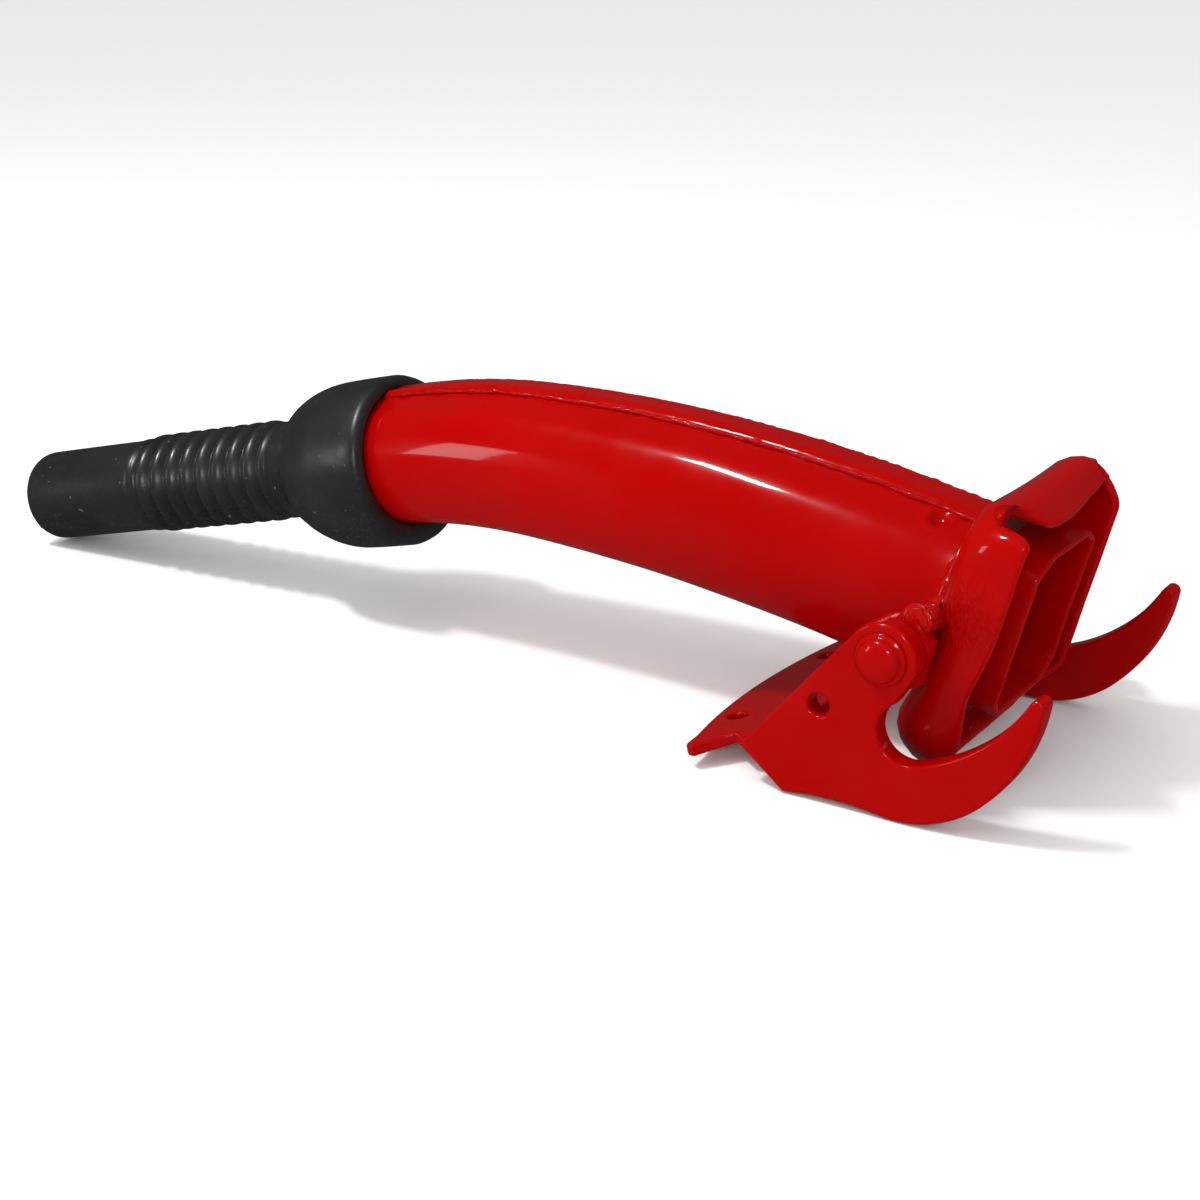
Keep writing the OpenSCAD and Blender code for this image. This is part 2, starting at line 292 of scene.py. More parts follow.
def plate(name, outlines, thickness, edge, place, material, body):
    """A flat plate with rounded edges: the first outline is its edge and the others are holes."""
    curve = bpy.data.curves.new(name, "CURVE")
    curve.dimensions = "2D"
    curve.fill_mode = "BOTH"
    curve.extrude = (thickness / 2 - edge) * MM
    curve.bevel_depth = edge * MM
    curve.bevel_resolution = 3
    curve.offset = -edge * MM
    for outline in outlines:
        spline = curve.splines.new("POLY")
        spline.points.add(len(outline) - 1)
        spline.use_cyclic_u = True
        for point, (x, y) in zip(spline.points, outline):
            point.co = (x * MM, y * MM, 0, 1)
    drawn = bpy.data.objects.new(name + "_drawn", curve)
    bpy.context.scene.collection.objects.link(drawn)
    bpy.context.view_layer.update()
    mesh = bpy.data.meshes.new_from_object(drawn)
    bpy.data.objects.remove(drawn)
    bm = bmesh.new()
    bm.from_mesh(mesh)
    bmesh.ops.remove_doubles(bm, verts=bm.verts, dist=1e-6)
    bmesh.ops.recalc_face_normals(bm, faces=bm.faces)
    bm.to_mesh(mesh)
    bm.free()
    mesh.transform(place)
    mesh.name = name
    obj = object_from(name, mesh, material, body)
    flatten = obj.modifiers.new("keep_flat", "WEIGHTED_NORMAL")
    flatten.keep_sharp = True
    return obj


# Weld beads: noise per metre, the radius left at the two ends, and how fast it grows from there per point
WELD_GRAIN = 260
WELD_END_TAPER = 0.35
WELD_END_STEP = 0.25


def bead(name, path, radius, material, body, lump=0.25, seed=0.0, sides=12):
    """A weld bead: a closed or open lumpy cord laid along a path of points in metres."""
    rings = []
    last = len(path) - 1
    for i, p in enumerate(path):
        ahead = (path[min(i + 1, last)] - path[max(i - 1, 0)]).normalized()
        side = ahead.orthogonal().normalized()
        up = ahead.cross(side)
        taper = min(1.0, WELD_END_TAPER + min(i, last - i) * WELD_END_STEP)
        ring = []
        for k in range(sides):
            a = 2 * math.pi * k / sides
            n = noise.noise(p * WELD_GRAIN + Vector((seed, k * 0.15, 0)))
            r = radius * MM * taper * (1 + lump * 1.6 * n + lump * 0.5 * math.sin(i * 1.3 + seed))
            ring.append(p + (side * math.cos(a) + up * math.sin(a)) * r)
        rings.append(ring)
    return loft(name, rings, material, body, capped=True)


# ---------------------------------------------------------------- materials
PAINT_COLOUR = (0.35, 0.0003, 0.0003)
LEVER_PAINT_COLOUR = (0.34, 0.0003, 0.0003)
PAINT_SHADE = 0.86
PAINT_ROUGHNESS = (0.16, 0.27)
PAINT_SPECULAR = 0.06
PAINT_COAT = 0.40
PAINT_COAT_ROUGHNESS = 0.045
RUBBER_DARK = (0.011, 0.011, 0.0115, 1)
RUBBER_PALE = (0.020, 0.020, 0.021, 1)
RUBBER_ROUGHNESS = (0.24, 0.40)
DUST = 0.10
GASKET_DARK = (0.10, 0.006, 0.005, 1)
GASKET_PALE = (0.17, 0.010, 0.008, 1)
GASKET_ROUGHNESS = 0.55
# Wrinkled paint low on the collar's near lobe: its middle and its reach, in metres
WRINKLES_AT = in_mouth(8.5, -26.5, 9.5)
WRINKLES_REACH = 0.0085
WRINKLE_STRETCH = 0.28


def grey(value):
    return (value, value, value, 1)


def new_material(name):
    """A material with its nodes, links and shader, and the object's own coordinates."""
    mat = bpy.data.materials.new(name)
    mat.use_nodes = True
    nodes, links = mat.node_tree.nodes, mat.node_tree.links
    shader = nodes["Principled BSDF"]
    place = nodes.new("ShaderNodeTexCoord")
    return mat, nodes, links, shader, place.outputs["Object"]


def noise_node(nodes, links, where, scale, detail=3.0, roughness=0.5):
    tex = nodes.new("ShaderNodeTexNoise")
    tex.inputs["Scale"].default_value = scale
    tex.inputs["Detail"].default_value = detail
    tex.inputs["Roughness"].default_value = roughness
    links.new(where, tex.inputs["Vector"])
    return tex.outputs["Fac"]


def ramp(nodes, links, value, stops):
    """A colour that runs between two stops, each (value, colour)."""
    node = nodes.new("ShaderNodeValToRGB")
    for element, (at, colour) in zip(node.color_ramp.elements, stops):
        element.position = at
        element.color = colour
    links.new(value, node.inputs["Fac"])
    return node.outputs["Color"]


def add_bump(nodes, links, shader, layers):
    """Stacks bumps: each layer is (height output, strength, distance in metres)."""
    normal = None
    for height, strength, distance in layers:
        node = nodes.new("ShaderNodeBump")
        node.inputs["Strength"].default_value = strength
        node.inputs["Distance"].default_value = distance
        links.new(height, node.inputs["Height"])
        if normal:
            links.new(normal, node.inputs["Normal"])
        normal = node.outputs["Normal"]
    links.new(normal, shader.inputs["Normal"])


def wrinkles(nodes, links, where, centre, reach):
    """Height of fine upright wrinkles that fade out at a distance of reach metres from a centre."""
    apart = nodes.new("ShaderNodeVectorMath")
    apart.operation = "DISTANCE"
    apart.inputs[1].default_value = centre
    links.new(where, apart.inputs[0])
    fade = nodes.new("ShaderNodeMapRange")
    fade.inputs["From Min"].default_value = reach * 0.3
    fade.inputs["From Max"].default_value = reach
    fade.inputs["To Min"].default_value = 1
    fade.inputs["To Max"].default_value = 0
    links.new(apart.outputs["Value"], fade.inputs["Value"])
    squash = nodes.new("ShaderNodeMapping")
    squash.inputs["Scale"].default_value = (1, 1, WRINKLE_STRETCH)
    squash.inputs["Rotation"].default_value = (0, rad(MOUTH_TILT), 0)
    links.new(where, squash.inputs["Vector"])
    height = nodes.new("ShaderNodeMath")
    height.operation = "MULTIPLY"
    links.new(noise_node(nodes, links, squash.outputs["Vector"], 1500, 3, 0.6), height.inputs[0])
    links.new(fade.outputs["Result"], height.inputs[1])
    return height.outputs["Value"]


def red_paint(name, ripple=0.25, lumps=0.0, wrinkled=False, base=PAINT_COLOUR):
    """Thick gloss enamel: faint orange peel, small colour shifts, and lumps where it covers welds."""
    mat, nodes, links, shader, where = new_material(name)
    dark = tuple(c * PAINT_SHADE for c in base) + (1,)
    tone = ramp(nodes, links, noise_node(nodes, links, where, 28, 4), [(0.3, dark), (0.7, base + (1,))])
    links.new(tone, shader.inputs["Base Color"])
    gloss = ramp(nodes, links, noise_node(nodes, links, where, 90, 3),
                 [(0.35, grey(PAINT_ROUGHNESS[0])), (0.75, grey(PAINT_ROUGHNESS[1]))])
    links.new(gloss, shader.inputs["Roughness"])
    shader.inputs["Specular IOR Level"].default_value = PAINT_SPECULAR
    shader.inputs["Coat Weight"].default_value = PAINT_COAT
    shader.inputs["Coat Roughness"].default_value = PAINT_COAT_ROUGHNESS
    layers = [
        (noise_node(nodes, links, where, 45, 2), ripple, 0.0006),
        (noise_node(nodes, links, where, 420, 2), ripple * 0.35, 0.0001),
    ]
    if wrinkled:
        layers.append((wrinkles(nodes, links, where, WRINKLES_AT, WRINKLES_REACH), 1.0, 0.0012))
    if lumps:
        layers.append((noise_node(nodes, links, where, 620, 5, 0.65), lumps, 0.0009))
    add_bump(nodes, links, shader, layers)
    return mat


def black_rubber(name):
    """Moulded rubber: satin, with fine speckle, soft scuffs and pale dust specks."""
    mat, nodes, links, shader, where = new_material(name)
    body = ramp(nodes, links, noise_node(nodes, links, where, 60, 5, 0.6),
                [(0.3, RUBBER_DARK), (0.72, RUBBER_PALE)])
    specks = ramp(nodes, links, noise_node(nodes, links, where, 900, 2, 0.4),
                  [(0.72, grey(0)), (0.80, grey(DUST))])
    mix = nodes.new("ShaderNodeMix")
    mix.data_type = "RGBA"
    mix.blend_type = "ADD"
    mix.inputs["Factor"].default_value = 1.0
    links.new(body, mix.inputs["A"])
    links.new(specks, mix.inputs["B"])
    links.new(mix.outputs["Result"], shader.inputs["Base Color"])
    gloss = ramp(nodes, links, noise_node(nodes, links, where, 40, 5, 0.7),
                 [(0.3, grey(RUBBER_ROUGHNESS[0])), (0.7, grey(RUBBER_ROUGHNESS[1]))])
    links.new(gloss, shader.inputs["Roughness"])
    shader.inputs["Specular IOR Level"].default_value = 0.5
    add_bump(nodes, links, shader, [
        (noise_node(nodes, links, where, 55, 3), 0.2, 0.0005),
        (noise_node(nodes, links, where, 1100, 3, 0.6), 0.25, 0.00008),
    ])
    return mat


def gasket_rubber(name):
    """Dull red sealing rubber."""
    mat, nodes, links, shader, where = new_material(name)
    tone = ramp(nodes, links, noise_node(nodes, links, where, 70, 4),
                [(0.3, GASKET_DARK), (0.7, GASKET_PALE)])
    links.new(tone, shader.inputs["Base Color"])
    shader.inputs["Roughness"].default_value = GASKET_ROUGHNESS
    add_bump(nodes, links, shader, [(noise_node(nodes, links, where, 700, 3), 0.3, 0.0001)])
    return mat


PAINT = red_paint("red_enamel")
COLLAR_PAINT = red_paint("red_enamel_collar", wrinkled=True)
PAINT_ROUGH = red_paint("red_enamel_over_weld", ripple=0.5, lumps=0.5)
LEVER_PAINT = red_paint("red_enamel_lever", ripple=0.3, base=LEVER_PAINT_COLOUR)
RUBBER = black_rubber("moulded_rubber")
GASKET = gasket_rubber("gasket_rubber")


# ---------------------------------------------------------------- steel tube
TUBE_SIDES = 128
TUBE_RINGS = 150
RING_CROWDING = 1.35
PLUG_LEN = 22.0
# Pressed flats beside the strip: the angle of their middle from the top, their spread, depth and fade-in
FLAT_ANGLE = 27
FLAT_SPREAD = 9.0
FLAT_DEPTH = 0.45
FLAT_FADE = 20
# Flare where the tube meets the collar and the length over which it fades, and unevenness all over
FLARE = 1.2
FLARE_FADE = 2.2
WAVER = 0.09
# Vent dimples: distance from the collar, angle from the top, radius, depth and raised rim
VENT_S = 9.0
VENT_ANGLE = 26.0
VENT_R = 2.1
VENT_DEPTH = 1.3
VENT_RIM = 0.3


def tube_skin_radius(s, a):
    """Outer radius with the flats beside the strip, the flare at the collar and the two vent dimples."""
    r = radius_at(s)
    off_top = abs(math.degrees(a) - 90)
    off_top = min(off_top, 360 - off_top)
    if s < BEND_LEN:
        flat = math.exp(-((off_top - FLAT_ANGLE) / FLAT_SPREAD) ** 2)
        r -= FLAT_DEPTH * flat * min(1, s / FLAT_FADE)
    r += FLARE * math.exp(-max(0, s) / FLARE_FADE) * (0.6 + 0.4 * math.sin(a * 3) ** 2)
    r += WAVER * noise.noise(Vector((s * 0.05, math.cos(a) * 1.4, math.sin(a) * 1.4)))
    around = (off_top - VENT_ANGLE) * math.pi / 180 * r
    d = math.hypot(s - VENT_S, around)
    if d < VENT_R * 1.9:
        r -= VENT_DEPTH * (1 - min(1, d / VENT_R) ** 2)
        r += VENT_RIM * math.exp(-((d - VENT_R * 1.2) / 0.5) ** 2)
    return r


def spout_tube():
    """The tube's outside from the collar into the nozzle, and its bore. Rings crowd at the collar."""
    length = BEND_LEN + PLUG_LEN
    turn = [2 * math.pi * i / TUBE_SIDES for i in range(TUBE_SIDES)]
    rings = []
    for k in range(TUBE_RINGS + 1):
        s = length * (k / TUBE_RINGS) ** RING_CROWDING
        rings.append([on_tube(s, tube_skin_radius(s, a), a) for a in turn])
    for k in range(TUBE_RINGS, -1, -5):
        s = length * (k / TUBE_RINGS) ** RING_CROWDING
        rings.append([on_tube(s, radius_at(s) - TUBE_WALL, a) for a in turn])
    obj = loft("spout_tube_skin", rings, PAINT, "spout", closed_loop=True)
    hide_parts("spout_tube")


# Strip: its ends along the tube, half its width in degrees, how far it is sunk in, and how far it rises
STRIP_START = 0.3
STRIP_END = BEND_LEN - 0.6
STRIP_HALF_ANGLE = 17.5
STRIP_SUNK = 0.25
STRIP_RISE = 1.35
GROOVE_DEPTH = 0.45
GROOVE_SPREAD = 0.55
STRIP_WAVER = 0.12
STRIP_GRAIN = 0.10
STRIP_RINGS = 170
STRIP_WELD_R = 0.5
STRIP_WELD_ANGLE = 17.2


def breather_channel():
    """The pressed strip over the air passage, with a shallow groove between two rounded edges."""
    half = rad(STRIP_HALF_ANGLE)
    rings = []
    for k in range(STRIP_RINGS + 1):
        s = STRIP_START + (STRIP_END - STRIP_START) * k / STRIP_RINGS
        base = radius_at(s) - STRIP_SUNK
        wobble = STRIP_WAVER * noise.noise(Vector((s * 0.22, 3.1, 0)))
        ring = []
        for i in range(25):
            u = -1 + 2 * i / 24
            rise = STRIP_RISE * (1 - abs(u) ** 5)
            rise -= GROOVE_DEPTH * math.exp(-(u / GROOVE_SPREAD) ** 2)
            grain = STRIP_GRAIN * noise.noise(Vector((s * 0.9, u * 2.5, 7.0)))
            ring.append(on_tube(s, base + rise + grain + wobble * abs(u), rad(90) - u * half))
        for i in range(9):
            u = 1 - 2 * (i + 1) / 10
            ring.append(on_tube(s, base - 0.15, rad(90) - u * half))
        rings.append(ring)
    obj = loft("breather_channel_strip", rings, PAINT, "spout", capped=True)
    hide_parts("breather_channel")


def strip_welds():
    """A thin, uneven bead along each edge of the strip. Angles start at +Y, so side -1 is the left."""
    for side, tag, seed in ((-1, "left", 0.0), (1, "right", 5.0)):
        path = []
        for k in range(240):
            s = 2 + (STRIP_END - 6) * k / 239
            shift = rad(STRIP_WELD_ANGLE + noise.noise(Vector((s * 0.3, seed, 0))))
            path.append(on_tube(s, radius_at(s) + 0.15, rad(90) + side * shift))
        bead("strip_weld_" + tag, path, STRIP_WELD_R, PAINT_ROUGH, "spout",
             lump=0.42, seed=seed, sides=10)


# ---------------------------------------------------------------- collar
OUTLINE_POINTS = 240
OUTLINE_MID_H = 4.0
# Radii of the bend from back plate to skirt, outside and inside, and of the skirt's rolled edge
BEND_OUT = 7.0
BEND_IN = 5.0
EDGE_R = 0.9
# Least straight run of skirt between the bend and the rolled edge
SKIRT_LEAST = 0.7
# Dips in the skirt's edge: (y, height) of the middle, depth, and the distances where each is full and gone
NEAR_GAP_AT = (-20.8, 28.4)
NEAR_GAP_DEPTH = 7.6
NEAR_GAP_REACH = (1.2, 4.4)
NEAR_GAP_LOBE_REACH = (1.2, 6.4)
FAR_GAP_AT = (20.4, 28.6)
FAR_GAP_DEPTH = 5.0
FAR_GAP_REACH = (0.8, 3.6)
FAR_CORNER_AT = (24.6, 25.6)
FAR_CORNER_DEPTH = 3.2
FAR_CORNER_REACH = (0, 7)
DIPS_ABOVE = 14
# Shallow hollow in the near lobe's edge: where the lobe begins, then the hollow's height, spread and depth
LOBE_Y = -18
LOBE_HOLLOW_H = -6
LOBE_HOLLOW_SPREAD = 8
LOBE_HOLLOW_DEPTH = 1.5
# Top tab: it stands back towards the far side and at both its ends
TAB_ABOVE = 20
TAB_SLANT = 1.5
TAB_END_DROP = 0.4
# Bottom edge: how far it stands back, and the heights between which that fades
LOW_EDGE_DEPTH = 4.3
LOW_EDGE_HEIGHTS = (-23.5, -15)
# Lean of the skirt, and its swell past the plain outline low down and at the sides
SIDE_LEAN = 0.3
TAB_CURL = 2.4
LOW_SWELL = 1.1
SIDE_SWELL = 0.5
# Backward dish low on the back plate, upward lift of the near lobe's top, and dents all over
DISH_DEPTH = 1.9
LIFT = 1.9
LIFT_AT_H = 23.5
DENT = 0.16


def smooth_step(x, a, b):
    """Rises smoothly from 0 at a to 1 at b."""
    t = max(0, min(1, (x - a) / (b - a)))
    return t * t * (3 - 2 * t)


def dip(y, h, middle, depth, reach):
    """Depth of a round dip at a place on the collar's edge."""
    return depth * (1 - smooth_step(math.hypot(y - middle[0], h - middle[1]), *reach))


def skirt_front(y, h):
    """How far forward the collar's edge stands: side lobes, a top tab and a low bottom."""
    front = COLLAR_FRONT
    if h > DIPS_ABOVE:
        near_reach = NEAR_GAP_LOBE_REACH if h < NEAR_GAP_AT[1] else NEAR_GAP_REACH
        front -= dip(y, h, NEAR_GAP_AT, NEAR_GAP_DEPTH, near_reach)
        front -= dip(y, h, FAR_GAP_AT, FAR_GAP_DEPTH, FAR_GAP_REACH)
        front -= dip(y, h, FAR_CORNER_AT, FAR_CORNER_DEPTH, FAR_CORNER_REACH)
    if y < LOBE_Y:
        front -= LOBE_HOLLOW_DEPTH * math.exp(-((h - LOBE_HOLLOW_H) / LOBE_HOLLOW_SPREAD) ** 2)
    elif h > TAB_ABOVE and y < -LOBE_Y:
        front -= TAB_SLANT * smooth_step(y, -8, 14) + TAB_END_DROP * smooth_step(abs(y), 12, 17)
    return front - LOW_EDGE_DEPTH * (1 - smooth_step(h, *LOW_EDGE_HEIGHTS))


def skirt_flare(y, h):
    """How far the edge leans outwards: the top tab curls in and the sides stand nearly straight."""
    return SIDE_LEAN - TAB_CURL * smooth_step(h, 23, 28) * (1 - 0.5 * smooth_step(abs(y), 14, 22))


def skirt_swell(y, h):
    """How far the pressing bulges past its plain outline, most at its lower corners."""
    low = LOW_SWELL * (1 - smooth_step(h, -20, -6)) * smooth_step(abs(y), 8, 18)
    return low + SIDE_SWELL * smooth_step(abs(y), 20, 25)


def collar_section(p, q, out_dir):
    """The sheet's closed section from q at the spigot to p on the outline, as (depth, point) pairs.

    It runs over the back plate, the outer bend, the skirt and its rolled edge, and back along the inside.
    """
    swell = skirt_swell(p.x, p.y)
    flare = skirt_flare(p.x, p.y)
    front = skirt_front(p.x, p.y) - EDGE_R
    bent = min(COLLAR_BACK + BEND_OUT, front - SKIRT_LEAST)

    def lean(t):
        return flare * t ** 2 + swell * math.sin(math.pi * min(1, 0.35 + 0.65 * t))

    flat = p - out_dir * BEND_OUT
    section = [(COLLAR_BACK, q)]
    section += [(COLLAR_BACK, q.lerp(flat, t)) for t in (0.35, 0.7, 1.0)]
    for a in (18, 36, 54, 72, 90):
        reach = BEND_OUT * math.sin(rad(a)) + swell * math.sin(rad(a * 0.7))
        section.append((COLLAR_BACK + BEND_OUT * (1 - math.cos(rad(a))), flat + out_dir * reach))
    section += [(bent + (front - bent) * t, p + out_dir * lean(t)) for t in (0.35, 0.7, 1.0)]
    edge = p + out_dir * (flare - SHEET / 2)
    for a in (30, 60, 90, 120, 150, 180):
        across = out_dir * (SHEET / 2) * math.cos(rad(a))
        section.append((front + EDGE_R * math.sin(rad(a)), edge + across))
    section += [(bent + (front - bent) * t, p - out_dir * (SHEET - lean(t))) for t in (0.7, 0.35, 0.0)]
    base = p - out_dir * (SHEET + BEND_IN)
    for a in (72, 54, 36, 18, 0):
        depth = SEAT_D + BEND_IN * (1 - math.cos(rad(a)))
        section.append((depth, base + out_dir * BEND_IN * math.sin(rad(a))))
    return section + [(SEAT_D, q.lerp(base, t)) for t in (0.66, 0.33, 0.0)]


def collar_point(d, point):
    """A section's point with the collar's dish, lift and dents, in metres."""
    dent = DENT * noise.noise(Vector((point.x * 0.11, point.y * 0.11, d * 0.11)))
    d -= DISH_DEPTH * smooth_step(-point.y, 7, 18) * (1 - smooth_step(d, 5, 12))
    if point.x < LOBE_Y:
        rise = LIFT * smooth_step(d, 6, 14) * math.exp(-((point.y - LIFT_AT_H) / 4) ** 2)
        point = point + Vector((0, rise))
    return in_mouth(d + dent * 0.5, point.x * (1 + dent * 0.008), point.y + dent * 0.3)


def collar_cup():
    """The pressed collar, one section of sheet per point round its outline."""
    outer = evenly(collar_outline(), OUTLINE_POINTS)
    inner = evenly(spigot_outline(SPIGOT_WALL), OUTLINE_POINTS)
    centre = Vector((0, OUTLINE_MID_H))
    first = math.atan2(*(outer[0] - centre))
    start = min(range(OUTLINE_POINTS), key=lambda i: abs(math.atan2(*(inner[i] - centre)) - first))
    inner = inner[start:] + inner[:start]
    sections = [collar_section(p, q, (p - centre).normalized()) for p, q in zip(outer, inner)]
    rings = [[collar_point(d, point) for d, point in ring] for ring in zip(*sections)]
    obj = loft("collar_pressing", rings, COLLAR_PAINT, "spout", closed_loop=True)
    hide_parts("collar_cup")


SPIGOT_POINTS = 160
SPIGOT_DENT = 0.10
SPIGOT_RIM_R = SPIGOT_WALL / 2


def mouth_spigot():
    """The spigot's wall, rounded at its rim and flared a little into the back plate."""
    outer = evenly(spigot_outline(0), SPIGOT_POINTS)
    centre = Vector((0, SPIGOT_MID_H))
    foot, below_rim = SEAT_D - 0.3, SPIGOT_FRONT - 0.7
    section = [(foot, 0.9), (SEAT_D + 0.5, 0.35), (SEAT_D + 1.6, 0.05), (10, 0), (below_rim, 0)]
    for a in (30, 60, 90, 120, 150):
        depth = SPIGOT_FRONT - SPIGOT_RIM_R + SPIGOT_RIM_R * math.sin(rad(a))
        section.append((depth, -SPIGOT_RIM_R * (1 - math.cos(rad(a)))))
    section += [(below_rim, -SPIGOT_WALL), (10, -SPIGOT_WALL), (foot, -SPIGOT_WALL)]
    rings = []
    for d, out in section:
        ring = []
        for p in outer:
            q = p + (p - centre).normalized() * out
            dent = SPIGOT_DENT * noise.noise(Vector((q.x * 0.13, q.y * 0.13, d * 0.2 + 4)))
            ring.append(in_mouth(d + dent, q.x + dent, q.y))
        rings.append(ring)
    obj = loft("mouth_spigot_skin", rings, PAINT, "spout", closed_loop=True)
    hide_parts("mouth_spigot")


# Bead round the tube: distance from the collar, height over the tube's skin, and its own radius
TUBE_WELD_S = 0.9
TUBE_WELD_OUT = 1.1
TUBE_WELD_R = 1.7
# Lug welds: depth along the mouth, then (y, height) of the outer end and the run from there to the inner end
LUG_WELD_D = 2.3
LUG_WELD_FROM = (30.6, 7.4)
LUG_WELD_RUN = (-4.2, -0.6)
LUG_WELD_R = 1.9


def mouth_welds():
    """A bead where the tube meets the collar's back, and a short fat one where each lug is welded on."""
    path = []
    for k in range(150):
        a = 2 * math.pi * k / 149 - rad(90)
        path.append(on_tube(TUBE_WELD_S, radius_at(0) + TUBE_WELD_OUT, a))
    bead("weld_tube_to_collar", path, TUBE_WELD_R, PAINT_ROUGH, "spout",
         lump=0.28, seed=2.0, sides=16)
    for side, tag in SIDES:
        path = []
        for k in range(46):
            t = k / 45
            y = LUG_WELD_FROM[0] + LUG_WELD_RUN[0] * t + 0.3 * math.sin(t * 8)
            path.append(in_mouth(LUG_WELD_D, side * y, LUG_WELD_FROM[1] + LUG_WELD_RUN[1] * t))
        bead("weld_lug_" + tag, path, LUG_WELD_R, PAINT_ROUGH, "spout",
             lump=0.5, seed=8.0 + side, sides=14)


# ---------------------------------------------------------------- lever
# Cam arm's outline, as (x, z): the throat that takes the can's lug, the hook, and the lower edge to the heel
THROAT_AT = (5.6, -13.0)
THROAT_R = 5.8
HOOK_ROOT = (8.4, -18.2)
HOOK_INNER_TIP = (27.2, -2.4)
HOOK_CROWN = (27.8, -1.6)
HOOK_TIP = (30, -3.2)
HOOK_KNEE = (20.5, -22.6)
HOOK_FOOT = (2.6, -30)
HEEL = (-14.4, -29.3)
HEEL_CORNER = (-18.4, -29.9)
FOLD_CORNER = (-27.6, -22.6)
# Thumb plate's outline, from its fold line: front edge, neck, ears and the back edge with its bulge
THUMB_FRONT = 6
THUMB_NECK = -1.5
THUMB_SHOULDER = -5
THUMB_EAR = -9.8
THUMB_EAR_BACK = -12
THUMB_BACK = -12.4
THUMB_BULGE = 3.6
ARM_EDGE_R = 0.7
THUMB_EDGE_R = 0.6
# Rivet head: height of the dome's foot, and the gap under the head
RIVET_FOOT = 0.75
RIVET_GAP = 0.05
RIVET_SIDES = 64


def arm_outline():
    return (arc(0, 0, ARM_END_R, 140, -22, 30)
            + arc(*THROAT_AT, THROAT_R, 118, 280, 28)
            + bow(HOOK_ROOT, HOOK_INNER_TIP, -2.2, 18)
            + bow(HOOK_CROWN, HOOK_TIP, 0.9, 8)
            + bow(HOOK_TIP, HOOK_KNEE, 1.8, 24)
            + bow(HOOK_KNEE, HOOK_FOOT, 2.15, 24)
            + bow(HOOK_FOOT, HEEL, -0.5, 8)
            + [HEEL_CORNER, FOLD_CORNER])


def circle(x, y, r, n=40):
    return arc(x, y, r, 0, 360 * (n - 1) / n, n - 1)


def cam_arms():
    outlines = [arm_outline(), circle(*ARM_HOLE_AT, HOLE_R)]
    for side, tag in SIDES:
        mid = side * (ARM_OUT_Y - ARM_T / 2) * MM
        place = Matrix.Translation((0, mid, 0)) @ Matrix.Rotation(rad(90), 4, "X")
        obj = plate("cam_arm_skin_" + tag, outlines, ARM_T, ARM_EDGE_R, place, LEVER_PAINT,
                    "lever")
        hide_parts("cam_arm_" + tag)


def thumb_plate():
    """The plate between the arms, with an ear behind each arm and a bulging back edge."""
    inner, outer = ARM_OUT_Y - ARM_T - 0.05, ARM_OUT_Y
    outline = ([(THUMB_FRONT, -inner), (THUMB_FRONT, inner), (THUMB_NECK, inner), (THUMB_SHOULDER, inner - 3)]
               + bow((THUMB_EAR, outer), (THUMB_EAR_BACK, outer - 2), -0.7, 6)
               + bow((THUMB_BACK, outer - 6), (THUMB_BACK, 6 - outer), -THUMB_BULGE, 30)
               + bow((THUMB_EAR_BACK, 2 - outer), (THUMB_EAR, -outer), -0.7, 6)
               + [(THUMB_SHOULDER, 3 - inner), (THUMB_NECK, -inner)])
    tilt = Matrix.Rotation(-rad(THUMB_TILT), 4, "Y")
    place = (Matrix.Translation((THUMB_HINGE[0] * MM, 0, THUMB_HINGE[1] * MM)) @ tilt
             @ Matrix.Translation((0, 0, -THUMB_T / 2 * MM)))
    outlines = [outline] + [circle(THUMB_HOLE_X, side * THUMB_HOLE_Y, HOLE_R) for side, _ in SIDES]
    obj = plate("thumb_plate_skin", outlines, THUMB_T, THUMB_EDGE_R, place, LEVER_PAINT,
                "lever")
    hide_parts("thumb_plate")


def rivet_profile():
    """(radius, height over the arm) from the top of the dome, over the flange, to the shank's end."""
    dome = [(0.0, RIVET_DOME)]
    for a in range(8, 89, 8):
        height = RIVET_FOOT + (RIVET_DOME - RIVET_FOOT) * math.cos(rad(a)) ** 0.8
        dome.append((RIVET_DOME_R * math.sin(rad(a)), height))
    flange = [(RIVET_DOME_R + 0.25, 0.62), (RIVET_HEAD_R - 0.35, 0.5), (RIVET_HEAD_R, 0.15),
              (RIVET_HEAD_R * 0.97, RIVET_GAP)]
    return dome + flange + [(RIVET_SHANK_R, RIVET_GAP), (RIVET_SHANK_R, RIVET_END), (0.0, RIVET_END)]


def rivets():
    """Both rivets, turned on the pivot axis."""
    turn = [2 * math.pi * i / RIVET_SIDES for i in range(RIVET_SIDES)]
    for side, tag in SIDES:
        rings = []
        for r, out in rivet_profile():
            r, y = max(r, 0.01), side * (ARM_OUT_Y + out)
            rings.append([Vector((r * math.cos(a), y, r * math.sin(a))) * MM for a in turn])
        obj = loft("rivet_skin_" + tag, rings, LEVER_PAINT, "spout", capped=True)
        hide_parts("rivet_" + tag)


# ---------------------------------------------------------------- rubber nozzle
RIBS_FROM = RIB_START - RIB_PITCH / 2
RIBS_TO = RIBS_FROM + RIB_PITCH * RIB_COUNT
RIB_DEPTH = 2.0
RIB_STEPS = 16
# Mould line: the sine of its angle, its height, and the mismatch of the ribs across it, along and inwards
MOULD_LINE = math.sin(rad(-35.0))
MOULD_LINE_H = 0.12
MOULD_SHIFT = 1.3
MOULD_STEP = 0.25
# Shoulder of the sleeve: its start, length, foot radius and rise
SHOULDER_START = 11.5
SHOULDER_LEN = 15
SHOULDER_FOOT_R = 13.2
SHOULDER_RISE = 5.1
